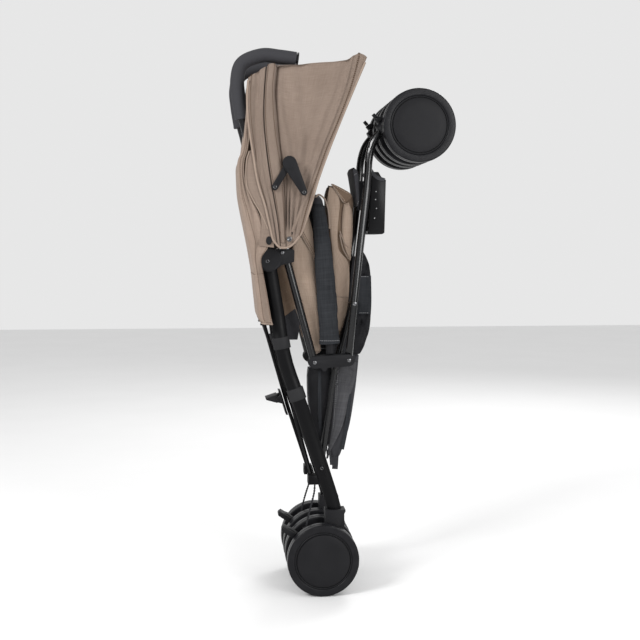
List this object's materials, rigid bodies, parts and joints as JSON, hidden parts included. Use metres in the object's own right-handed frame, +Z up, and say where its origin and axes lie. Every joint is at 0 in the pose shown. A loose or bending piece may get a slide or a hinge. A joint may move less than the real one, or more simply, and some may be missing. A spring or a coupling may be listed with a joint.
{
  "type": "folding stroller",
  "caption": "Umbrella stroller shown folded upright: bent handles with foam grips, tan canopy and seat cloth, black folding frame, brakes, basket and double castor wheels.",
  "frame": {"origin": "on the floor under the middle of the folded stroller's box", "axes": "+Z up, +X to the stroller's front, +Y to its left side"},
  "size_m": [0.4478, 0.238, 1.1015],
  "materials": {
    "frame": "satin black powder coat",
    "moulding": "fine texture",
    "wheel": "matte, smooth disc",
    "steel": "plain",
    "grip_foam": "soft foam",
    "cover_cloth": "woven, matt",
    "black_cloth": "woven, matt"
  },
  "bodies": {
    "rear_frame": {"rear_leg_right": "frame", "rear_leg_left": "frame", "rear_block_right": "moulding", "rear_block_left": "moulding", "rear_axle_right": "steel", "rear_axle_left": "steel", "brake_cable_right": "moulding", "brake_cable_left": "moulding", "brace_rod_right": "frame", "brace_rod_left": "frame", "latch_plate": "moulding"},
    "upper_frame": {"handle_tube_right": "frame", "handle_tube_left": "frame", "grip_right": "grip_foam", "grip_left": "grip_foam", "hub_right": "moulding", "hub_left": "moulding", "side_tube_right": "frame", "side_tube_left": "frame", "elbow_right": "moulding", "elbow_left": "moulding", "bumper_bar": "black_cloth", "canopy_cover": "cover_cloth", "canopy_rear_bow": "steel", "back_curtain": "cover_cloth", "seat_pad": "cover_cloth"},
    "front_frame": {"front_leg_right": "frame", "front_leg_left": "frame", "castor_socket_right": "moulding", "castor_socket_left": "moulding", "footrest": "moulding", "calf_strap": "black_cloth", "leg_rest": "cover_cloth"},
    "side_rails": {"side_rail_right": "frame", "side_rail_left": "frame", "basket": "black_cloth"},
    "canopy_bow": {"canopy_front_bow": "steel"},
    "strut_rear_arms": {"strut_rear_right": "moulding", "strut_rear_left": "moulding"},
    "strut_front_arms": {"strut_front_right": "moulding", "strut_front_left": "moulding"},
    "fold_pedal": {"fold_pedal": "moulding"},
    "castor_right": {"castor_fork_right": "moulding", "front_axle_right": "steel"},
    "brake_pedal_right": {"brake_pedal_right": "moulding"},
    "swivel_lock_right": {"swivel_lock_right": "moulding"},
    "rear_wheel_right_outer": {"rear_wheel_right_outer": "wheel"},
    "front_wheel_right_outer": {"front_wheel_right_outer": "wheel"},
    "rear_wheel_right_inner": {"rear_wheel_right_inner": "wheel"},
    "front_wheel_right_inner": {"front_wheel_right_inner": "wheel"},
    "castor_left": {"castor_fork_left": "moulding", "front_axle_left": "steel"},
    "brake_pedal_left": {"brake_pedal_left": "moulding"},
    "swivel_lock_left": {"swivel_lock_left": "moulding"},
    "rear_wheel_left_outer": {"rear_wheel_left_outer": "wheel"},
    "front_wheel_left_outer": {"front_wheel_left_outer": "wheel"},
    "rear_wheel_left_inner": {"rear_wheel_left_inner": "wheel"},
    "front_wheel_left_inner": {"front_wheel_left_inner": "wheel"}
  },
  "joints": [
    {"name": "front_leg_fold", "type": "hinge", "parent": "upper_frame", "child": "front_frame", "pos_m": [0.01382, 0, 0.47853], "axis": [0, 1, 0], "range_deg": [0, 135], "deforming": ["back_curtain", "seat_pad", "leg_rest", "basket"]},
    {"name": "handle_fold", "type": "hinge", "parent": "rear_frame", "child": "upper_frame", "pos_m": [-0.15168, 0, 0.68054], "axis": [0, -1, 0], "range_deg": [0, 24.5]},
    {"name": "side_rail_fold", "type": "hinge", "parent": "rear_frame", "child": "side_rails", "pos_m": [-0.04168, 0, 0.25654], "axis": [0, 1, 0], "range_deg": [0, 30.5]},
    {"name": "canopy_open", "type": "hinge", "parent": "upper_frame", "child": "canopy_bow", "pos_m": [-0.10968, 0, 0.72454], "axis": [0, 1, 0], "range_deg": [-22, 8], "deforming": ["canopy_cover"]},
    {"name": "strut_rear_turn", "type": "hinge", "parent": "upper_frame", "child": "strut_rear_arms", "pos_m": [-0.13818, 0, 0.82654], "axis": [0, 1, 0], "range_deg": [-30.5, 11.5]},
    {"name": "strut_knuckle_turn", "type": "hinge", "parent": "strut_rear_arms", "child": "strut_front_arms", "pos_m": [-0.10968, 0, 0.87353], "axis": [0, 1, 0], "range_deg": [-15, 40]},
    {"name": "fold_pedal_press", "type": "hinge", "parent": "rear_frame", "child": "fold_pedal", "pos_m": [-0.12668, 0, 0.39254], "axis": [0, -1, 0], "range_deg": [0, 15], "stiffness_Nm_per_rad": 0.3, "springref_deg": -11.46},
    {"name": "castor_swivel_right", "type": "hinge", "parent": "front_frame", "child": "castor_right", "pos_m": [0.08832, -0.063, 0.94954], "axis": [-0.749, 0, -0.6626], "range_deg": [-5, 90]},
    {"name": "brake_pedal_press_right", "type": "hinge", "parent": "rear_frame", "child": "brake_pedal_right", "pos_m": [-0.06968, -0.063, 0.10354], "axis": [0, -1, 0], "range_deg": [0, 14]},
    {"name": "swivel_lock_slide_right", "type": "slide", "parent": "castor_right", "child": "swivel_lock_right", "axis": [-0.749, 0, -0.6626], "range_m": [0, 0.004]},
    {"name": "rear_wheel_right_outer_spin", "type": "hinge", "parent": "rear_frame", "child": "rear_wheel_right_outer", "pos_m": [-0.04168, -0.098, 0.07354], "axis": [0, 1, 0], "continuous": true},
    {"name": "front_wheel_right_outer_spin", "type": "hinge", "parent": "castor_right", "child": "front_wheel_right_outer", "pos_m": [0.15032, -0.098, 0.95054], "axis": [0, 1, 0], "continuous": true},
    {"name": "rear_wheel_right_inner_spin", "type": "hinge", "parent": "rear_frame", "child": "rear_wheel_right_inner", "pos_m": [-0.04168, -0.028, 0.07354], "axis": [0, 1, 0], "continuous": true},
    {"name": "front_wheel_right_inner_spin", "type": "hinge", "parent": "castor_right", "child": "front_wheel_right_inner", "pos_m": [0.15032, -0.028, 0.95054], "axis": [0, 1, 0], "continuous": true},
    {"name": "castor_swivel_left", "type": "hinge", "parent": "front_frame", "child": "castor_left", "pos_m": [0.08832, 0.063, 0.94954], "axis": [0.749, 0, 0.6626], "range_deg": [-5, 90]},
    {"name": "brake_pedal_press_left", "type": "hinge", "parent": "rear_frame", "child": "brake_pedal_left", "pos_m": [-0.06968, 0.063, 0.10354], "axis": [0, -1, 0], "range_deg": [0, 14]},
    {"name": "swivel_lock_slide_left", "type": "slide", "parent": "castor_left", "child": "swivel_lock_left", "axis": [-0.749, 0, -0.6626], "range_m": [0, 0.004]},
    {"name": "rear_wheel_left_outer_spin", "type": "hinge", "parent": "rear_frame", "child": "rear_wheel_left_outer", "pos_m": [-0.04168, 0.098, 0.07354], "axis": [0, 1, 0], "continuous": true},
    {"name": "front_wheel_left_outer_spin", "type": "hinge", "parent": "castor_left", "child": "front_wheel_left_outer", "pos_m": [0.15032, 0.098, 0.95054], "axis": [0, 1, 0], "continuous": true},
    {"name": "rear_wheel_left_inner_spin", "type": "hinge", "parent": "rear_frame", "child": "rear_wheel_left_inner", "pos_m": [-0.04168, 0.028, 0.07354], "axis": [0, 1, 0], "continuous": true},
    {"name": "front_wheel_left_inner_spin", "type": "hinge", "parent": "castor_left", "child": "front_wheel_left_inner", "pos_m": [0.15032, 0.028, 0.95054], "axis": [0, 1, 0], "continuous": true}
  ],
  "couplings": [
    {"joint": "handle_fold", "follows": "front_leg_fold", "ratio": 0.18067},
    {"joint": "side_rail_fold", "follows": "front_leg_fold", "ratio": 0.22437},
    {"joint": "strut_rear_turn", "follows": "canopy_open", "ratio": 1.36},
    {"joint": "strut_knuckle_turn", "follows": "canopy_open", "ratio": -1.8}
  ]
}
